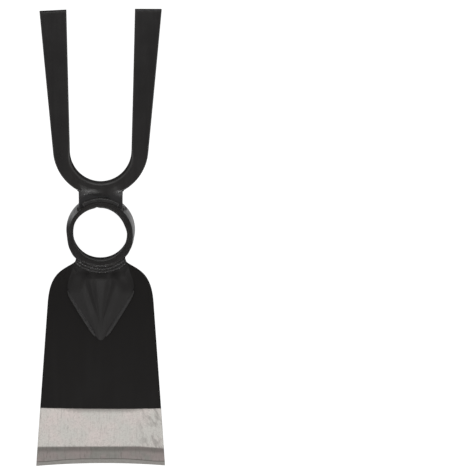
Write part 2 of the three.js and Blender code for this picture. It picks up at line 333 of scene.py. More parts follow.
def layOver(tree, colour, value, key, other):
    # lays one of the blade's colours over another where a value lies in a band
    return mixColour(tree, band(tree, value, *bladeLook[key]), colour, bladeLook[other])


def makeGroup(name, inputs, outputs):
    tree = bpy.data.node_groups.new(name, "ShaderNodeTree")
    for label, value in inputs.items():
        socket = tree.interface.new_socket(label, in_out="INPUT", socket_type="NodeSocketFloat")
        socket.default_value = value
    for label in outputs:
        tree.interface.new_socket(label, in_out="OUTPUT", socket_type="NodeSocketFloat")
    return tree, tree.nodes.new("NodeGroupInput"), tree.nodes.new("NodeGroupOutput")


lacquerLook = {
    "dark": (0.0112, 0.0098, 0.0090, 1),
    "light": (0.0190, 0.0172, 0.0160, 1),
    "worn": (0.075, 0.070, 0.066, 1),
    "peel": 0.00006,  # metres
    "gloss": 0.16,  # how much duller it is where it is dullest
    "glossBand": (0.3, 0.7),
    "glossShares": (0.6, 0.4),  # of the patches and of the runs
    "runNoise": {"scale": 420, "stretch": (1, 0.06, 0.06), "detail": 2.0},
    "runHeight": 0.35,
    "patchNoise": {"scale": 70, "detail": 3.0},
    "dustNoise": {"scale": 2600, "detail": 1.0},
    "dustBand": (0.66, 0.76),
    "peelNoise": {"scale": 900, "detail": 2.0},
    "wornNoise": {"scale": 260, "detail": 4.0},
    "wornBand": (0.42, 0.66),
    "wornSpread": 0.08,
}


def makeLacquerSkin():
    # the lacquer's runs, dust and orange peel
    look = lacquerLook
    inputs = {"Runs": 0.5, "Dust": 0.3, "Peel": 0.5}
    tree, given, result = makeGroup("lacquerSkin", inputs, ("Tone", "Gloss", "Height"))
    runs = speckle(tree, **look["runNoise"])
    patches = speckle(tree, **look["patchNoise"])
    dust = band(tree, speckle(tree, **look["dustNoise"]), *look["dustBand"])
    peel = speckle(tree, **look["peelNoise"])
    swing = times(tree, minus(tree, runs, 0.5), given.outputs["Runs"])
    tone = plus(tree, swing, patches)
    specks = times(tree, dust, given.outputs["Dust"])
    tree.links.new(calc(tree, "ADD", tone, specks, clamp=True), result.inputs["Tone"])
    fromPatches = times(tree, patches, look["glossShares"][0])
    gloss = plus(tree, fromPatches, times(tree, runs, look["glossShares"][1]))
    tree.links.new(gloss, result.inputs["Gloss"])
    fine = times(tree, peel, given.outputs["Peel"])
    height = plus(tree, fine, times(tree, runs, look["runHeight"]))
    tree.links.new(plus(tree, height, specks), result.inputs["Height"])
    return tree


def makeEdgeWear():
    # where rubbing has thinned the lacquer on the corners
    look = lacquerLook
    inputs = {"Amount": 0.5, "Start": 0.53}
    tree, given, result = makeGroup("edgeWear", inputs, ("Mask",))
    sharp = addNode(tree, "ShaderNodeNewGeometry").outputs["Pointiness"]
    end = plus(tree, given.outputs["Start"], look["wornSpread"])
    corner = band(tree, sharp, given.outputs["Start"], end)
    patchy = band(tree, speckle(tree, **look["wornNoise"]), *look["wornBand"])
    mask = times(tree, times(tree, corner, patchy), given.outputs["Amount"])
    tree.links.new(mask, result.inputs["Mask"])
    return tree


lacquerSkin = makeLacquerSkin()
edgeWear = makeEdgeWear()


def lacquerParts(tree, runs, dust, peel, wear, tint, rough):
    # the lacquer's colour, roughness and height, shared by every lacquered material
    skin = addNode(tree, "ShaderNodeGroup", node_tree=lacquerSkin)
    worn = addNode(tree, "ShaderNodeGroup", node_tree=edgeWear)
    for label, value in (("Runs", runs), ("Dust", dust), ("Peel", peel)):
        skin.inputs[label].default_value = value
    worn.inputs["Amount"].default_value = wear
    dark, light = ([part * tint for part in lacquerLook[key][:3]] + [1] for key in ("dark", "light"))
    colour = mixColour(tree, skin.outputs["Tone"], dark, light)
    colour = mixColour(tree, worn.outputs["Mask"], colour, lacquerLook["worn"])
    duller = rough + lacquerLook["gloss"]
    rough = band(tree, skin.outputs["Gloss"], *lacquerLook["glossBand"], rough, duller)
    return colour, rough, skin.outputs["Height"]


def makeLacquer(name, runs=0.3, dust=0.3, peel=0.5, wear=0.35, tint=1.0, gloss=0.36, specular=0.42):
    material, tree, shader = newMaterial(name)
    colour, rough, height = lacquerParts(tree, runs, dust, peel, wear, tint, gloss)
    finishSkin(tree, shader, colour, rough, height, lacquerLook["peel"], specular)
    return material


bladeLook = {
    "bareLength": 35.0,  # mm of bare steel, measured from the corners of the cutting edge
    "bareSag": 0.5,  # mm that the lacquer's end hangs lower in the middle
    "bareSlope": 0.3,  # mm that it climbs to the left
    "waver": 0.35,  # mm that it wanders
    "shadowReach": 3.3,  # mm of painted shadow under the middle of the lacquer's end
    "steel": (0.770, 0.700, 0.665, 1),
    "steelCool": (0.700, 0.685, 0.640, 1),
    # the dark colour of the mottling, scratches and smears, which also paints the shadow under the
    # lacquer's end
    "stain": (0.30, 0.28, 0.26, 1),
    "mottle": 0.5,
    "cloudNoise": {"scale": 62, "stretch": (1, 0.8, 1), "detail": 4.0, "roughness": 0.6},
    "cloudBand": (0.36, 0.64),
    "grainNoise": {
        "scale": 560, "stretch": (1, 0.75, 1), "detail": 4.0, "roughness": 0.7, "shift": (0.3, 0.1, 0)
    },
    "grainBand": (0.58, 0.34),
    "scratchNoise": {"scale": 1300, "stretch": (1, 0.06, 0.2), "detail": 3.0, "roughness": 0.6},
    "scratchBand": (0.48, 0.28, 0, 0.3),
    "smearNoise": {"scale": 420, "stretch": (1, 0.12, 1), "detail": 3.0, "roughness": 0.6, "turn": -28},
    "smearBand": (0.52, 0.36, 0, 0.55),
    "smearEnd": (0.45, 0.8),  # shares of the half width
    "shadowMiddle": 0.03,  # where the painted shadow is deepest, as a share of the half width
    "shadowBand": (0.8, 0.35, 0.3, 1),
    "shadowRagged": 2.5,  # mm
    "shadowFade": (1.0, -0.1, 0, 0.9),
    # the bevel's own warm and cool clouding, painted about half as bright as the flat steel: painted shade
    # for its steeper face
    "bevel": (0.385, 0.335, 0.320, 1),
    "bevelCool": (0.335, 0.325, 0.300, 1),
    # the darkest bevel colour paints shade under the bevel's top and along the lip's crease, and also
    # colours real scratches
    "bevelScratchAndShade": (0.165, 0.155, 0.142, 1),
    "honed": (0.400, 0.385, 0.360, 1),
    "bevelNoise": {
        "scale": 110, "stretch": (1, 0.5, 1), "detail": 4.0, "roughness": 0.6, "shift": (0.7, 0.2, 0)
    },
    "bevelBand": (0.38, 0.62),
    "bevelRagged": 2.4,  # mm
    "bevelTopShadeBand": (3.9, 1.8, 0, 0.5),  # mm below the bevel's top, and the share of the painted shade strip
    "bevelScratches": (0.5, 0.3, 0, 0.45),
    "bevelEase": (-0.7, 0.4),  # mm
    "bevelLength": 12,  # mm, ground on the front
    "bevelDrop": 1.1,  # mm that the grind falls away at the right end
    "lip": 4.3,  # mm from the edge's corners to the honed lip, in the middle and at the ends
    "lipEnds": 2.7,
    "lipBow": 0.8,
    "lipBand": (0.1, -0.2, 0, 0.8),  # mm, and the honed steel's share
    # painted shade line along the crease between the bevel and the honed lip
    "creaseShadeBand": (0.5, 0.1, 0, 0.75),
    "brushed": (0.40, 0.58),
    "brushedBand": (0.3, 0.7),
    "wanderNoise": {"scale": 28, "stretch": (1, 0, 0), "detail": 3.0},
    "lineEase": 0.15,  # mm
    "dropFrom": 0.55,  # where the bevel's top starts to fall, as a share of the half width
    "facingEase": 0.1,
    "coat": 1.2,  # how far the lacquer stands above the steel, in steps of the bump
    "steelHeight": 0.6,
    "scratch": 0.00005,  # metres
    "skin": (0.2, 0.08, 0.3, 0.2),  # the lacquer's runs, dust, peel and wear
    "tint": 0.89,
    "gloss": 0.4,
    "specular": 0.14,
}


def addRagged(tree, distance, grain, size):
    # makes a line ragged by the grain
    return plus(tree, distance, times(tree, minus(tree, grain, 0.5), size))


def steelColour(tree, fromLine, across):
    # cloudy ground steel with fine mottling, smears at one end and a painted shadow under the lacquer's end
    look = bladeLook
    cloud = band(tree, speckle(tree, **look["cloudNoise"]), *look["cloudBand"])
    grain = speckle(tree, **look["grainNoise"])
    scratches = speckle(tree, **look["scratchNoise"])
    smears = speckle(tree, **look["smearNoise"])
    atEnd = band(tree, across, *look["smearEnd"])
    colour = mixColour(tree, cloud, look["steel"], look["steelCool"])
    grainShare = band(tree, grain, *look["grainBand"], 0, look["mottle"])
    colour = mixColour(tree, grainShare, colour, look["stain"])
    colour = layOver(tree, colour, scratches, "scratchBand", "stain")
    smearShare = times(tree, band(tree, smears, *look["smearBand"]), atEnd)
    colour = mixColour(tree, smearShare, colour, look["stain"])
    # painted shadow: the steel darkens just under the lacquer's end, most near the middle
    fromMiddle = calc(tree, "ABSOLUTE", minus(tree, across, look["shadowMiddle"]))
    nearMiddle = band(tree, fromMiddle, *look["shadowBand"])
    ragged = addRagged(tree, fromLine, grain, look["shadowRagged"])
    reach = calc(tree, "DIVIDE", ragged, times(tree, nearMiddle, look["shadowReach"]))
    under = times(tree, band(tree, reach, *look["shadowFade"]), nearMiddle)
    return mixColour(tree, under, colour, look["stain"]), grain, scratches


def bevelColour(tree, bevelTop, reach, across, grain, scratches):
    # the bevel: painted darker than the flat steel as painted shade, with a painted shade strip under its
    # top, a warm ground middle, a honed lip along the edge and a painted shade line on the lip's crease
    look = bladeLook
    cloud = band(tree, speckle(tree, **look["bevelNoise"]), *look["bevelBand"])
    # painted shade: the bevel's steel is darker than the flat steel, with its own clouding
    colour = mixColour(tree, cloud, look["bevel"], look["bevelCool"])
    ragged = addRagged(tree, bevelTop, grain, look["bevelRagged"])
    # painted shade strip under the bevel's top
    colour = layOver(tree, colour, ragged, "bevelTopShadeBand", "bevelScratchAndShade")
    colour = layOver(tree, colour, scratches, "bevelScratches", "bevelScratchAndShade")
    bowed = times(tree, across, across)
    lip = band(tree, bowed, 0, look["lipBow"], look["lip"], look["lipEnds"])
    fromLip = minus(tree, reach, lip)
    colour = layOver(tree, colour, fromLip, "lipBand", "honed")
    # painted shade line along the lip's crease
    return layOver(tree, colour, calc(tree, "ABSOLUTE", fromLip), "creaseShadeBand", "bevelScratchAndShade")


def makeBladeFinish():
    look = bladeLook
    material, tree, shader = newMaterial("bladeFinish")
    colour, rough, height = lacquerParts(tree, *look["skin"], look["tint"], look["gloss"])
    parts = objectPlace(tree)
    low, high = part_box("blade_plate")
    across = calc(tree, "DIVIDE", parts["X"], high.x)  # -1 to 1 along the edge
    reach = times(tree, minus(tree, parts["Y"], low.y), 1 / mm)
    wander = minus(tree, speckle(tree, **look["wanderNoise"]), 0.5)
    bowed = times(tree, across, across)
    line = plus(tree, look["bareLength"], times(tree, wander, 2 * look["waver"]))
    line = plus(tree, line, times(tree, bowed, look["bareSag"]))
    line = minus(tree, line, times(tree, across, look["bareSlope"]))
    fromLine = minus(tree, line, reach)
    bare = band(tree, fromLine, -look["lineEase"], look["lineEase"])
    steel, grain, scratches = steelColour(tree, fromLine, across)
    bevelTop = minus(tree, look["bevelLength"], reach)
    fallen = band(tree, across, look["dropFrom"], 1.0, 0, look["bevelDrop"])
    bevelTop = minus(tree, bevelTop, fallen)
    ground = bevelColour(tree, bevelTop, reach, across, grain, scratches)
    normal = addNode(tree, "ShaderNodeNewGeometry").outputs["Normal"]
    facing = addNode(tree, "ShaderNodeSeparateXYZ", {"Vector": normal}).outputs["Z"]
    inFront = band(tree, facing, -look["facingEase"], look["facingEase"])
    # the bevel's colour, darkened as painted shade, replaces the flat steel on the front of the bevel
    onBevel = times(tree, band(tree, bevelTop, *look["bevelEase"]), inFront)
    steel = mixColour(tree, onBevel, steel, ground)
    colour = mixColour(tree, bare, colour, steel)
    steelRough = band(tree, grain, *look["brushedBand"], *look["brushed"])
    roughStep = times(tree, minus(tree, steelRough, rough), bare)
    rough = plus(tree, rough, roughStep)
    tree.links.new(bare, shader.inputs["Metallic"])
    covered = minus(tree, 1, bare)
    lacquerHeight = times(tree, plus(tree, height, look["coat"]), covered)
    steelHeight = times(tree, plus(tree, scratches, grain), bare)
    height = plus(tree, lacquerHeight, times(tree, steelHeight, look["steelHeight"]))
    finishSkin(tree, shader, colour, rough, height, look["scratch"], look["specular"])
    return material


eyeLacquer = makeLacquer("eyeLacquer", peel=0.6, tint=0.9, specular=0.3)
gussetLacquer = makeLacquer("gussetLacquer", runs=0.5, dust=0.15, tint=0.98, specular=0.36)
forkLacquer = makeLacquer("forkLacquer", runs=0.9, wear=0.6, gloss=0.26, specular=0.5)
saddleLacquer = makeLacquer("saddleLacquer", peel=0.8, wear=0.5, gloss=0.24, specular=0.9)
weldLacquer = makeLacquer("weldLacquer", dust=0.5, peel=1.4, wear=0.5, gloss=0.3, specular=0.6)
bladeFinish = makeBladeFinish()
print("materials made")


# the eye

eyeShape = {
    "segments": 192,
    "wallCuts": 17,
    "merge": 1e-6,  # metres
    "rimRound": 0.75,  # mm
    "rimCuts": 5,
    "forgedWave": 0.12,  # mm that the forged ring is out of round
    "waves": ((0.6, 2, 0.7), (0.4, 5, 0)),  # share, count round the ring and start
    "innerFade": 1.5,  # mm into the wall, to where the bore's shapes have faded
    "swell": (1.5, 0.8),  # mm, left and right, where the blade's neck joins it
    "swellAt": 38,  # degrees below each side
    "swellSpread": 22,
    "swellRise": 12,  # mm up from the rear, to where it is whole
    "boreShift": (0.35, 0.55),  # mm that the bore leans left, and more of it towards the fork
    "shiftFrom": -0.7,  # where the lean starts, as the sine of the angle round the eye
    "shiftEase": 0.4,
    "seamAt": -2.1,  # mm from the centre line, on the fork side
    "seamDepth": 0.45,
    "seamWidth": 0.8,
    "seamRun": (5, 4),  # mm below the front rim where the seam starts, and its easing
    "levels": (0.1, 0.3, 0.5, 0.7, 0.9),  # shares of the height where the walls are measured
}


def eyeRadii(outer):
    # the eye's bore or outer wall as a straight line of radius over height
    levels = [eyeTop * share for share in eyeShape["levels"]]
    start, run = ((1, axisY), -1) if outer else ((0, axisY), 1)
    radii = [abs(touch("eye_collar", (*start, z), (run, 0, 0)).x) for z in levels]
    return np.poly1d(np.polyfit(levels, radii, 1))


eyeBore = eyeRadii(False)
eyeWall = eyeRadii(True)


def bendEye(vert):
    # moves a point of the plain ring to its forged place
    shape = eyeShape
    radius = hypot(vert.co.x, vert.co.y - axisY)
    angle = atan2(vert.co.y - axisY, vert.co.x)
    up = sin(angle)
    (firstShare, firstCount, firstStart), (share, count, start) = shape["waves"]
    wave = firstShare * sin(firstCount * angle + firstStart)
    wave += share * sin(count * angle + start + vert.co.z / eyeTop)
    inner = 1 - smooth((radius - eyeBore(vert.co.z)) / (shape["innerFade"] * mm))
    below, run = shape["seamRun"]
    nick = bell(vert.co.x - shape["seamAt"] * mm, shape["seamWidth"] * mm)
    nick *= inner * smooth((vert.co.z - eyeTop + below * mm) / (run * mm)) if up > 0 else 0
    around = degrees(asin((axisY - vert.co.y) / radius))
    swell = shape["swell"][vert.co.x > 0] * bell(around - shape["swellAt"], shape["swellSpread"])
    grown = radius + mm * (shape["forgedWave"] * wave * inner + shape["seamDepth"] * nick)
    grown += swell * mm * (1 - inner) * smooth(vert.co.z / (shape["swellRise"] * mm))
    lean = shape["boreShift"][0] * ease(up, shape["shiftFrom"], shape["shiftEase"])
    lean += shape["boreShift"][1] * smooth(up / shape["shiftEase"])
    half = eyeTop / 2
    grown -= lean * mm * inner * cos(angle) * smooth((vert.co.z - half) / half)
    vert.co.x = grown * cos(angle)
    vert.co.y = axisY + grown * sin(angle)


def makeEye():
    shape = eyeShape
    bm = bmesh.new()
    corners = [(eyeBore(0), 0), (eyeWall(0), 0), (eyeWall(eyeTop), eyeTop), (eyeBore(eyeTop), eyeTop)]
    verts = [bm.verts.new((radius, axisY, z)) for radius, z in corners]
    edges = [bm.edges.new((verts[i], verts[(i + 1) % 4])) for i in range(4)]
    bmesh.ops.subdivide_edges(bm, edges=[edges[1], edges[3]], cuts=shape["wallCuts"])
    spin(bm, bm.verts[:] + bm.edges[:], 2 * pi, shape["segments"], True)
    bmesh.ops.remove_doubles(bm, verts=bm.verts[:], dist=shape["merge"])
    bmesh.ops.recalc_face_normals(bm, faces=bm.faces[:])
    roundEdges(bm, shape["rimRound"] * mm, shape["rimCuts"])
    for vert in bm.verts:
        bendEye(vert)
    makePiece(bm, "eyeCollar", "eye_collar", eyeLacquer)


makeEye()


# the blade

bladeShape = {
    "columns": 48,
    "rows": 168,
    "bevelRows": 12,
    "neckReach": 12.5,  # mm from the eye's axis to where its width is first measured
    "neckRun": 0.3,  # share of the length in which the curved root straightens
    "rowEase": 1.2,  # crowds the rows towards the eye
    "sunk": 1.3,  # mm that the neck runs into the eye's wall
    "edgeThickness": 0.8,
    "edgeHollow": 1.5,
    "bevelHollow": 0.28,
    "lipShare": 0.78,  # where the honed lip starts on the bevel
    "sideRound": 0.45,
    "dish": 0.35,  # mm that the blade's middle lies lower than its sides, near the edge
    "dishRun": (60, 60),  # mm of reach where it starts, and its easing
    "roundTo": 136.25,  # mm of reach to where the side corners are rounded
    "measured": (20, 122, 6),  # mm of reach along the middle, first, end and step
}
edgeReach = (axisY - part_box("blade_plate")[0].y) / mm
bladePlaces = [(0, axisY - reach * mm) for reach in range(*bladeShape["measured"])]
bladeFront = heightLine("blade_plate", bladePlaces, True)
bladeRear = heightLine("blade_plate", bladePlaces, False)


def bladeHalfWidths():
    # the blade's half width at every half millimetre of reach, with the CAD outline's facets evened out
    reaches = np.arange(bladeShape["neckReach"], edgeReach, 0.5)
    widths = []
    for reach in reaches:
        y = axisY - reach * mm
        inside = bladeRear(y) + bladeShape["edgeThickness"] / 2 * mm
        widths.append(touch("blade_plate", (1, y, inside), (-1, 0, 0)).x / mm)
    evened = np.convolve(np.pad(widths, 2, mode="edge"), np.ones(5) / 5, mode="valid")
    return reaches, evened


bladeReaches, bladeWidths = bladeHalfWidths()


def bladeHalf(reach):
    return float(np.interp(reach, bladeReaches, bladeWidths))


def bladePoint(across, along, front):
    shape = bladeShape
    aside = 2 * across - 1
    turn = 1 - shape["bevelRows"] / shape["rows"]
    bevelReach = edgeReach - bladeLook["bevelLength"]
    dropFrom = bladeLook["dropFrom"]
    bevelReach += bladeLook["bevelDrop"] * ease(aside, dropFrom, 1 - dropFrom)
    wall = eyeWall(eyeTop) / mm - shape["sunk"]
    neck = bladeWidths[0]
    sideStart = sqrt(wall**2 - neck**2)
    share = max(0, (along - turn) / (1 - turn))
    if along <= turn:
        side = lerp(sideStart, bevelReach, (along / turn) ** shape["rowEase"])
        bow = (wall - sideStart) * (1 - smooth((along / turn) / shape["neckRun"]))
        curve = 1 - sqrt(1 - (aside * neck / wall) ** 2)
        curve /= 1 - sqrt(1 - (neck / wall) ** 2)
    else:
        side = lerp(bevelReach, edgeReach, share)
        bow = -shape["edgeHollow"] * share
        curve = aside**2
    reach = side + bow * (1 - curve)
    y = axisY - reach * mm
    z = bladeRear(y)
    if front:
        flat = bladeFront(y)
        thin = lerp(bladeFront(axisY - bevelReach * mm), shape["edgeThickness"] * mm, share)
        hollow = sin(pi * min(1, share / shape["lipShare"]))
        z = flat if share == 0 else thin - shape["bevelHollow"] * mm * hollow
        dish = ease(reach, *shape["dishRun"]) * (1 - share)
        z -= shape["dish"] * mm * (1 - aside**2) * dish
    return Vector((aside * bladeHalf(side) * mm, y, z))


def beforeEdge(edge):
    # leaves the cutting edge sharp
    return min(v.co.y for v in edge.verts) > axisY - bladeShape["roundTo"] * mm


def makeBlade():
    bm = plate(bladeShape["columns"], bladeShape["rows"], bladePoint)
    roundEdges(bm, bladeShape["sideRound"] * mm, 3, beforeEdge)
    makePiece(bm, "bladePlate", "blade_plate", bladeFinish, 30)


makeBlade()


# the gusset on the blade

gussetShape = {
    "columns": 96,
    "rows": 110,
    "halfWidth": 18.6,
    "topHalf": 15.4,
    "cornerEase": 0.15,
    "start": 16.6,  # reaches from the eye's axis, mm
    "startMiddle": 21.0,
    "side": 29.5,
    "nose": 60.7,
    "noseHalf": 1.2,
    "toBlade": 0.4,  # mm that it stays inside the blade's side
    "startRunShare": 0.35,  # share of the length in which its curved start straightens
    "swellBand": (0.45, 0.55),  # shares of the half width where its top starts to fall, and the easing
    "rise": 3.6,
    "noseRise": 1.0,
    "sunk": 0.8,
    "rimShare": (0.0, 0.46),  # of the rise that is left at the rim, at the eye and along the sides
    "rimRun": (24, 10),  # mm of reach where it starts, and its easing
    "startRise": 0.5,  # of the rise, where it comes out from under the weld
    "startRun": 4.5,
    "ridge": 0.4,  # mm that a crease stands up below each end of the weld
    "ridgeAt": (15.6, 13.6),
    "ridgeRun": (17, 24),
    "ridgeWidth": 0.6,
    "flutesAt": (25, 41),
    "fluteSpread": (6.1, 2.6),
    "fluteWidth": (2.3, 1.0),
    "fluteDepth": (1.0, 0.45),
    "fluteLeast": (0.6, 0.2),  # mm, the least width and depth
    "fluteRuns": (-0.3, 1.6),  # how far past its two places each flute runs, as shares of their distance
    "fluteEnd": (46, 9),  # mm of reach where they start to fade, and the easing
    "rimRound": 0.35,
    "roundSharper": 35,  # degrees
    "roundAbove": 20,  # mm up
}


def gussetHalf(reach):
    shape = gussetShape
    share = (reach - shape["side"]) / (shape["nose"] - shape["side"])
    share = max(0, share)
    share *= share * (1 + shape["cornerEase"]) / (share + shape["cornerEase"])
    half = lerp(shape["halfWidth"], shape["noseHalf"], share)
    rise = (reach - shape["start"]) / (shape["side"] - shape["start"])
    half -= (shape["halfWidth"] - shape["topHalf"]) * (1 - smooth(rise))
    return min(half, bladeHalf(reach) - shape["toBlade"])


def gussetHeight(x, reach, half):
    shape = gussetShape
    share = (reach - shape["start"]) / (shape["nose"] - shape["start"])
    rise = lerp(shape["rise"], shape["noseRise"], min(max(share, 0), 1))
    aside = min(abs(x) / half, 1)
    swell = 1 - ease(aside, *shape["swellBand"])
    rimShare = lerp(*shape["rimShare"], ease(reach, *shape["rimRun"]))
    height = rise * lerp(rimShare, 1, swell)
    height *= lerp(shape["startRise"], 1, ease(reach, shape["startMiddle"], shape["startRun"]))
    ridgeFrom, ridgeTo = shape["ridgeRun"]
    ridgeShare = (reach - ridgeFrom) / (ridgeTo - ridgeFrom)
    ridge = shape["ridge"] * (1 - smooth(abs(2 * ridgeShare - 1)))
    height += ridge * bell(abs(x) - lerp(*shape["ridgeAt"], ridgeShare), shape["ridgeWidth"])
    run = (reach - shape["flutesAt"][0]) / (shape["flutesAt"][1] - shape["flutesAt"][0])
    run = min(max(run, shape["fluteRuns"][0]), shape["fluteRuns"][1])
    width = max(shape["fluteLeast"][0], lerp(*shape["fluteWidth"], run))
    depth = max(shape["fluteLeast"][1], lerp(*shape["fluteDepth"], run))
    fade = 1 - ease(reach, *shape["fluteEnd"])
    return height - depth * fade * bell(abs(x) - lerp(*shape["fluteSpread"], run), width)


def gussetPoint(across, along, front):
    shape = gussetShape
    aside = 2 * across - 1
    side = lerp(shape["start"], shape["nose"], along)
    bow = (shape["startMiddle"] - shape["start"]) * (1 - smooth(along / shape["startRunShare"]))
    reach = side + bow * (1 - aside**2)
    half = gussetHalf(side)
    x = aside * half
    y = axisY - reach * mm
    lift = gussetHeight(x, reach, half) if front else -shape["sunk"]
    return Vector((x * mm, y, bladeFront(y) + lift * mm))


def onGussetTop(edge):
    return max(v.co.z for v in edge.verts) > gussetShape["roundAbove"] * mm


def makeGusset():
    bm = plate(gussetShape["columns"], gussetShape["rows"], gussetPoint)
    roundEdges(bm, gussetShape["rimRound"] * mm, 3, onGussetTop, gussetShape["roundSharper"])
    makePiece(bm, "bladeGusset", "blade_gusset", gussetLacquer, 60)


makeGusset()


# the fork

forkShape = {
    "columns": 24,
    "rows": 240,
    "arcShare": 0.5,
    "tipRows": 0.06,
    "tineGap": 34.6,  # mm
    "tipGap": 38.9,
    "barWidth": 9.5,
    "bendWidth": 7.9,
    "chamfer": 1.2,
    "chamferDrop": 1.7,
    "leftShort": (1.4, 0.6),  # the left tine's tip, at its outer and inner corner
    "bendFade": (0.35, 0.2),  # share of the bar's half length where the bend's corners end, and the easing
    "innerFacets": ((0.7, 1.3), (1.2, 1.0)),  # widths and depths on the gap's side, in the bend
    "tineRound": (1.3, 0.8),  # and the round along the tines
    "outerRound": (1.0, 0.8),
    "saddleCut": (3.9, 1.4),  # where the bar is forged down to the saddle
    "cutPlain": (2.6, 3.6, 0.85),  # mm across, spread and share of the cut that is left out
    "cutRun": (10, 3.5),  # mm across where the cut starts to fade, and the easing
    "hammered": 0.35,
    "hammerSize": 4.2,
    "hammerAt": (9, 0, 1.3),
    "measuredBend": (1, 3, 5, 7),  # mm in from the bend's outside
    "measuredTine": (0.05, 0.2, 0.35, 0.5, 0.65, 0.8, 0.95),  # shares of a tine
    "tineFrom": (21.8, 52),  # mm across and of reach, where the measured stretch starts
    "tineEnd": 4,  # mm before the tip where it ends
    "rearRound": 0.6,
}
forkLow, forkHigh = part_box("fork_bar")
bendReach = (forkLow.y - axisY) / mm
forkReach = (forkHigh.y - axisY) / mm
tipHalf = forkHigh.x / mm
outerRadius = forkShape["tineGap"] / 2 + forkShape["barWidth"]
innerRadius = forkShape["tineGap"] / 2
outerCentre = Vector((0, bendReach + outerRadius))
innerCentre = Vector((0, bendReach + forkShape["bendWidth"] + innerRadius))


def forkPlaces():
    # points on the bar's own middle line, in the bend and along one tine
    shape = forkShape
    places = [(0, axisY + (bendReach + reach) * mm) for reach in shape["measuredBend"]]
    startX, startReach = shape["tineFrom"]
    for share in shape["measuredTine"]:
        x = lerp(startX, (shape["tipGap"] / 2 + tipHalf) / 2, share)
        places.append((x * mm, axisY + lerp(startReach, forkReach - shape["tineEnd"], share) * mm))
    return places


forkFront = heightLine("fork_bar", forkPlaces(), True)
forkRear = heightLine("fork_bar", forkPlaces(), False)


def bendLine(centre, radius, tip, share):
    # a point on one side of the bar: round the bend, then straight to the tip
    shape = forkShape
    run = tip - centre
    leave = atan2(run.y, run.x) - acos(radius / run.length)
    turn = min(1, share / shape["arcShare"])
    angle = lerp(-pi / 2, leave, turn)
    point = centre + radius * Vector((cos(angle), sin(angle)))
    if share <= shape["arcShare"]:
        return point
    last = 1 - shape["tipRows"]
    tipStart = tip - (tip - point).normalized() * shape["chamfer"]
    if share <= last:
        return point.lerp(tipStart, (share - shape["arcShare"]) / (last - shape["arcShare"]))
    return tipStart.lerp(tip, (share - last) / (1 - last))


def roundDrop(distance, width, depth):
    # how far a rounded corner has fallen, at a distance from its edge
    return depth * (1 - sqrt(1 - max(0, 1 - distance / width) ** 2))


def forkDrop(point, outerGap, innerGap, share):
    # what the corners take off the bar's front, in mm
    shape = forkShape
    inBend = 1 - ease(share, *shape["bendFade"])
    edge, ring = shape["innerFacets"]
    facets = ring[1] * max(0, 1 - max(0, innerGap - edge[0]) / ring[0])
    facets += edge[1] * max(0, 1 - innerGap / edge[0])
    drop = lerp(roundDrop(innerGap, *shape["tineRound"]), facets, inBend)
    atSaddle = 1 - ease(abs(point.x), *shape["cutRun"])
    width, depth = shape["saddleCut"]
    plainAt, plainSpread, plainShare = shape["cutPlain"]
    slope = depth * max(0, 1 - outerGap / width)
    slope *= 1 - plainShare * bell(point.x - plainAt, plainSpread)
    lump = noise.noise((Vector((*point, 0)) + Vector(shape["hammerAt"])) / shape["hammerSize"])
    slope += shape["hammered"] * lump * smooth(slope)
    return drop + lerp(roundDrop(outerGap, *shape["outerRound"]), slope, atSaddle)


def forkPoint(across, along, front):
    shape = forkShape
    side = 1 if along > 0.5 else -1
    share = abs(2 * along - 1)
    short = shape["leftShort"] if side < 0 else (0, 0)
    outerTip = Vector((tipHalf, forkReach - short[0]))
    innerTip = Vector((shape["tipGap"] / 2, forkReach - short[1]))
    outer = bendLine(outerCentre, outerRadius, outerTip, share)
    inner = bendLine(innerCentre, innerRadius, innerTip, share)
    point = outer.lerp(inner, (1 - cos(pi * across)) / 2)
    y = axisY + point.y * mm
    z = forkRear(y)
    if front:
        drop = forkDrop(point * Vector((side, 1)), (point - outer).length, (point - inner).length, share)
        last = max(0, (share - 1 + shape["tipRows"]) / shape["tipRows"]) ** 2
        z = forkFront(y) - (drop + shape["chamferDrop"] * last) * mm
    return Vector((side * point.x * mm, y, z))


def onForkRear(edge):
    return all(v.co.z < forkRear(v.co.y) + mm / 2 for v in edge.verts)


def makeFork():
    bm = plate(forkShape["columns"], forkShape["rows"], forkPoint)
    roundEdges(bm, forkShape["rearRound"] * mm, 3, onForkRear)
    makePiece(bm, "forkBar", "fork_bar", forkLacquer, 40)


makeFork()


# the saddle

saddleShape = {
    "columns": 40,
    "rows": 24,
    "width": 24.9,  # mm
    "waist": 0.15,
    "intoEye": 1.2,
    "intoFork": 1.6,
    "dip": 0.35,
    "sideRound": 2.0,
    "hammered": 0.5,
    "hammerSize": 5.0,
    "hammerAt": (1.5, 0, 3.7),
    "rearRun": 4,  # mm in which its rear slopes up to the fork's
    "rearStep": 0.3,  # mm that its rear stays inside the fork's
    "sideFrom": (10, 25),  # mm across and up, beyond which its corners are rounded
}
saddleLow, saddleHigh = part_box("saddle_block")
saddleRoot = saddleLow.z


def saddleFront(x, y, along):
    shape = saddleShape
    lump = noise.noise((Vector((x, y / mm, 0)) + Vector(shape["hammerAt"])) / shape["hammerSize"])
    wave = sin(pi * along)
    return saddleHigh.z - mm * (shape["dip"] - shape["hammered"] * lump) * wave


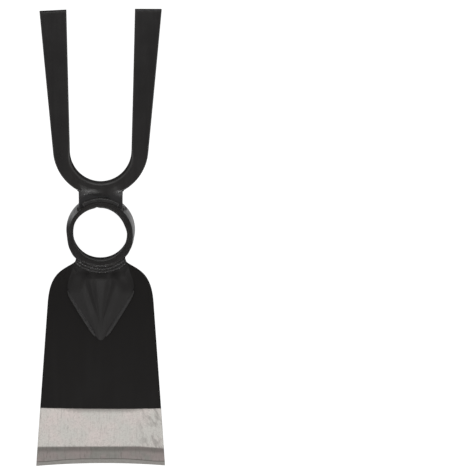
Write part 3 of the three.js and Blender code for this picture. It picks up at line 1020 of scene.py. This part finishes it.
def saddlePoint(across, along, front):
    shape = saddleShape
    aside = 2 * across - 1
    half = shape["width"] / 2 - shape["waist"] * sin(pi * along)
    x = aside * half
    eye = sqrt((eyeWall(saddleHigh.z) / mm - shape["intoEye"]) ** 2 - x**2)
    bend = outerCentre.y - sqrt((outerRadius - shape["intoFork"]) ** 2 - x**2)
    y = axisY + lerp(eye, bend, along) * mm
    if front:
        return Vector((x * mm, y, saddleFront(x, y, along)))
    slope = smooth(((y - axisY - eyeWall(saddleRoot)) / mm) / shape["rearRun"])
    end = forkRear(axisY + bendReach * mm) + shape["rearStep"] * mm
    return Vector((x * mm, y, lerp(saddleRoot, end, slope)))


def saddleSide(edge):
    # true on the front corners that run from the eye to the fork
    across, up = saddleShape["sideFrom"]
    sideways = all(abs(v.co.x) > across * mm for v in edge.verts)
    return sideways and min(v.co.z for v in edge.verts) > up * mm


def makeSaddle():
    bm = plate(saddleShape["columns"], saddleShape["rows"], saddlePoint)
    roundEdges(bm, saddleShape["sideRound"] * mm, 6, saddleSide)
    makePiece(bm, "saddleBlock", "saddle_block", saddleLacquer, 50)


makeSaddle()


# the weld beads

weldShape = {
    "collarSpan": 92,  # degrees round the eye
    "collarWidth": 4.1,  # mm
    "collarPasses": 3,
    "collarRoll": 0.5,  # mm that each pass stands up
    "collarLow": 1.5,  # mm below the blade's front, and above it where the weld ends
    "passCuts": 6,
    "passLean": 0.4,  # of the roll, outwards
    "sunk": 0.8,  # mm into the eye's wall
    "bladeReach": 22,  # mm from the eye's axis, where the blade's height is taken
    "rearSpan": 82,
    "rearProfile": ((2.2, 0.3), (5.2, -1.4), (8, 0.5), 1.2),  # mm out and up, from the eye to the blade
    "steps": 150,
    "gussetBead": {"radius": 1.1, "pitch": 1.1, "ripple": 0.05},  # mm, and the ripple's share
    "gussetReaches": (32.0, 35, 39.5, 45, 51.5, 58.5),
    "gussetOut": (0.35, 0.15),  # mm from the gusset's edge and up from the blade
    "saddleSpan": 70,
    "saddleSteps": 90,
    "sideBead": {"radius": 0.95, "pitch": 1.5, "ripple": 0.12},
    "sideOut": 0.1,  # mm out from the saddle's corners
    "saddleShares": (0, 0.12, 0.3, 0.5, 0.7, 0.9, 1),  # places down each side
    "saddleDrop": 0.4,  # mm below the CAD bead's top
    "toe": (2.0, 0.75),  # mm that the right bead swings out at its foot, and from which share
    "forkIn": 0.3,  # mm in from the saddle's side
    "forkDrop": 1.2,  # mm below the CAD bead's top
    "arcOut": (2.1, 1.9, 1.1),  # mm out from the eye at the foot, in the middle and near the top
    "arcRise": (0.9, 0.2, 0.5),  # mm past the CAD arc, at its tall and short ends, and its shoulder's drop
}


def passProfile(wall, low, top, end):
    # the section of the weld in front, whose face shows each pass as a roll
    shape = weldShape
    passes = shape["collarPasses"]
    cuts = passes * shape["passCuts"]
    inner = wall - shape["sunk"]
    outer = wall + shape["collarWidth"]
    points = [(inner, low)]
    for index in range(cuts + 1):
        share = index / cuts
        roll = shape["collarRoll"] * abs(sin(pi * share * passes))
        out = lerp(inner, outer, share) + roll * shape["passLean"]
        points.append((out, lerp(top, end, share) + roll))
    points.append((outer, low))
    return points


def makeWeld(bm, node):
    # names the piece after its CAD part
    first, *rest = node.split("_")
    name = first + "".join(word.capitalize() for word in rest)
    makePiece(bm, name, node, weldLacquer, 60)


def makeCollarWelds():
    shape = weldShape
    wall = eyeWall(eyeTop) / mm
    root = wall - shape["sunk"]
    bladeY = axisY - shape["bladeReach"] * mm
    frontAt = bladeFront(bladeY) / mm
    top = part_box("collar_weld_front")[1].z / mm
    profile = passProfile(wall, frontAt - shape["collarLow"], top, frontAt + shape["collarLow"])
    makeWeld(ringBead(profile, -pi / 2, shape["collarSpan"], shape["steps"]), "collar_weld_front")
    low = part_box("collar_weld_rear")[0].z / mm
    rearAt = bladeRear(bladeY) / mm
    (nearOut, nearShare), (midOut, midUp), (farOut, farUp), rootUp = shape["rearProfile"]
    profile = [(root, low), (wall + nearOut, lerp(low, rearAt, nearShare)), (wall + midOut, rearAt + midUp)]
    profile += [(wall + farOut, rearAt + farUp), (root, rearAt + rootUp)]
    makeWeld(ringBead(profile, -pi / 2, shape["rearSpan"], shape["steps"]), "collar_weld_rear")


def makeGussetWelds():
    shape = weldShape
    out, up = shape["gussetOut"]
    for name, side in (("left", 1), ("right", -1)):
        path = []
        for reach in shape["gussetReaches"]:
            y = axisY - reach * mm
            x = side * (gussetHalf(reach) + out) * mm
            path.append(Vector((x, y, bladeFront(y) + up * mm)))
        makeWeld(beadAlong(path, Vector((0, 0, 1)), shape["gussetBead"], side), f"gusset_weld_{name}")


def makeSideWelds(name, side):
    # the beads down one side of the saddle, at the eye and at the fork
    shape = weldShape
    half = saddleShape["width"] / 2
    swing, swingFrom = shape["toe"]
    low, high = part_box(f"saddle_weld_{name}")
    path = []
    for share in shape["saddleShares"]:
        z = lerp(high.z - shape["saddleDrop"] * mm, low.z, share)
        x = half + shape["sideOut"]
        if side > 0:
            x += swing * ease(share, swingFrom, 1 - swingFrom)
        reach = sqrt((eyeWall(z) / mm) ** 2 - x**2) + shape["sideOut"]
        path.append(Vector((side * x * mm, axisY + reach * mm, z)))
    makeWeld(beadAlong(path, Vector((side, 1, 0)), shape["sideBead"], side), f"saddle_weld_{name}")
    low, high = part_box(f"fork_weld_{name}")
    reach = outerCentre.y - sqrt(outerRadius**2 - half**2)
    x = side * (half - shape["forkIn"]) * mm
    y = axisY + (reach + shape["forkIn"]) * mm
    ends = [Vector((x, y, z)) for z in (high.z - shape["forkDrop"] * mm, low.z)]
    makeWeld(beadAlong(ends, Vector((side, -1, 0)), shape["sideBead"], side + 5), f"fork_weld_{name}")


def makeArcWeld(name):
    # the arc between the eye and the saddle, in front or at the rear
    shape = weldShape
    front = name == "front"
    low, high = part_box(f"saddle_weld_{name}")
    middle = (low.z + high.z) / 2 / mm
    wall = eyeWall((low.z + high.z) / 2) / mm
    root = wall - shape["sunk"]
    foot, belly, shoulder = shape["arcOut"]
    tall, short, below = shape["arcRise"]
    bottom = low.z / mm - (tall if front else 0)
    top = high.z / mm + (short if front else tall)
    profile = [(root, bottom), (wall + foot, bottom if front else middle), (wall + belly, middle)]
    profile += [(wall + shoulder, top - below), (root, top)]
    bm = ringBead(profile, pi / 2, shape["saddleSpan"], shape["saddleSteps"])
    makeWeld(bm, f"saddle_weld_{name}")


makeCollarWelds()
makeGussetWelds()
makeSideWelds("left", -1)
makeSideWelds("right", 1)
makeArcWeld("front")
makeArcWeld("rear")


# floor, light and camera

studio = {
    "floorSize": 6.0,  # metres
    "floorGlow": 1.0,
    "floorColour": (0.2, 0.2, 0.2, 1),
    "floorRough": 0.9,
    "bounce": (0.02, 0.85),  # how strongly the floor lights the head, at its dark and its bright side
    "bounceTurn": 70,  # degrees from +X to the bright side
    "bounceRun": (-0.007, 0.004),  # metres from the eye's axis, dark to bright
    "bounceReach": (0.024, 0.034),  # metres from the eye's axis, to where it has faded
    "zenith": (0.30, 0.30, 0.31, 1),
    "horizon": (1.1, 1.1, 1.1, 1),
    "skyBand": (0.05, 0.75),
    "boxes": [  # direction in degrees from straight up and round from +X, distance, size, strength
        {"tilt": 42, "round": -90, "away": 1.2, "size": (0.75, 0.4), "power": 1.6},
        {"tilt": 72, "round": 8, "away": 1.2, "size": (0.6, 0.8), "power": 1.6},
        {"tilt": 72, "round": 172, "away": 1.2, "size": (0.6, 0.8), "power": 0.8},
        {"tilt": 76, "round": 90, "away": 1.2, "size": (0.8, 0.3), "power": 1.2},
    ],
    "snoot": {  # a narrow lamp on the saddle
        "tilt": 44,
        "round": -92,
        "away": 1.2,
        "aim": (-0.003, 0.0295, 0.03),  # metres
        "cone": 2.0,  # degrees
        "radius": 0.03,  # metres
        "power": 90.0,
    },
}


def makeFloor():
    # a pale table that shines evenly, and lights the head from one side
    shape = studio
    bm = bmesh.new()
    bmesh.ops.create_grid(bm, x_segments=1, y_segments=1, size=shape["floorSize"] / 2)
    mesh = bpy.data.meshes.new("floor")
    bm.to_mesh(mesh)
    bm.free()
    floor = addObject("floor", mesh)
    material, tree, shader = newMaterial("paleTable")
    shader.inputs["Base Color"].default_value = shape["floorColour"]
    shader.inputs["Roughness"].default_value = shape["floorRough"]
    shader.inputs["Specular IOR Level"].default_value = 0
    shader.inputs["Emission Color"].default_value = (1, 1, 1, 1)
    parts = objectPlace(tree)
    turn = radians(shape["bounceTurn"])
    sideways = times(tree, parts["X"], cos(turn))
    aheadY = minus(tree, parts["Y"], axisY)
    toBright = plus(tree, sideways, times(tree, aheadY, sin(turn)))
    bounce = band(tree, toBright, *shape["bounceRun"])
    flat = addNode(tree, "ShaderNodeCombineXYZ", {"X": parts["X"], "Y": aheadY})
    away = addNode(tree, "ShaderNodeVectorMath", {0: flat.outputs[0]}, operation="LENGTH").outputs["Value"]
    bounce = times(tree, bounce, band(tree, away, *shape["bounceReach"], 1, 0))
    bounce = calc(tree, "MULTIPLY_ADD", bounce, shape["bounce"][1], shape["bounce"][0])
    seen = addNode(tree, "ShaderNodeLightPath").outputs["Is Camera Ray"]
    direct = times(tree, seen, minus(tree, shape["floorGlow"], bounce))
    tree.links.new(plus(tree, bounce, direct), shader.inputs["Emission Strength"])
    mesh.materials.append(material)


def makeWorld():
    world = bpy.data.worlds.new("studioWorld")
    bpy.context.scene.world = world
    world.use_nodes = True
    tree = world.node_tree
    place = addNode(tree, "ShaderNodeTexCoord").outputs["Generated"]
    up = addNode(tree, "ShaderNodeSeparateXYZ", {"Vector": place}).outputs["Z"]
    share = band(tree, up, *studio["skyBand"])
    colour = mixColour(tree, share, studio["horizon"], studio["zenith"])
    tree.links.new(colour, tree.nodes["Background"].inputs["Color"])


def hangLamp(name, kind, values, aim):
    # a lamp that looks at aim from its own direction and distance
    tilt = radians(values["tilt"])
    bearing = radians(values["round"])
    low = sin(tilt)
    toLight = Vector((low * cos(bearing), low * sin(bearing), cos(tilt)))
    light = bpy.data.lights.new(name, kind)
    light.energy = values["power"]
    lamp = addObject(name, light)
    lamp.location = aim + toLight * values["away"]
    lamp.rotation_euler = toLight.to_track_quat("Z", "Y").to_euler()
    return light


def makeLights():
    middle = Vector((0, axisY, eyeTop / 2))
    for index, box in enumerate(studio["boxes"]):
        light = hangLamp(f"softbox{index}", "AREA", box, middle)
        light.shape = "RECTANGLE"
        light.size, light.size_y = box["size"]
    snoot = studio["snoot"]
    light = hangLamp("snoot", "SPOT", snoot, Vector(snoot["aim"]))
    light.spot_size = radians(snoot["cone"])
    light.spot_blend = 1
    light.shadow_soft_size = snoot["radius"]


cameraShape = {
    "distance": 1.5,  # metres from the middle of the eye's front rim
    "lower": 0.0002,  # metres that it stands towards the blade
    "tilt": 4.7,  # degrees that it leans towards the fork
    "pan": 2.867,  # degrees that it looks past the head, to the right
    "lens": 205.4,
    "farthest": 20,
}


def makeCamera():
    shape = cameraShape
    tilt = radians(shape["tilt"])
    pan = radians(shape["pan"])
    toCamera = Vector((0, sin(tilt), cos(tilt)))
    upwards = Vector((0, cos(tilt), -sin(tilt)))
    across = Vector((1, 0, 0))
    right = across * cos(pan) + toCamera * sin(pan)
    back = toCamera * cos(pan) - across * sin(pan)
    camera = addObject("camera", bpy.data.cameras.new("camera"))
    camera.data.lens = shape["lens"]
    camera.data.clip_end = shape["farthest"]
    place = Vector((0, axisY - shape["lower"], eyeTop)) + toCamera * shape["distance"]
    camera.matrix_world = Matrix.Translation(place) @ Matrix((right, upwards, back)).transposed().to_4x4()
    bpy.context.scene.camera = camera


makeFloor()
makeWorld()
makeLights()
makeCamera()
bpy.context.scene.view_settings.view_transform = "Standard"
print("studio made")
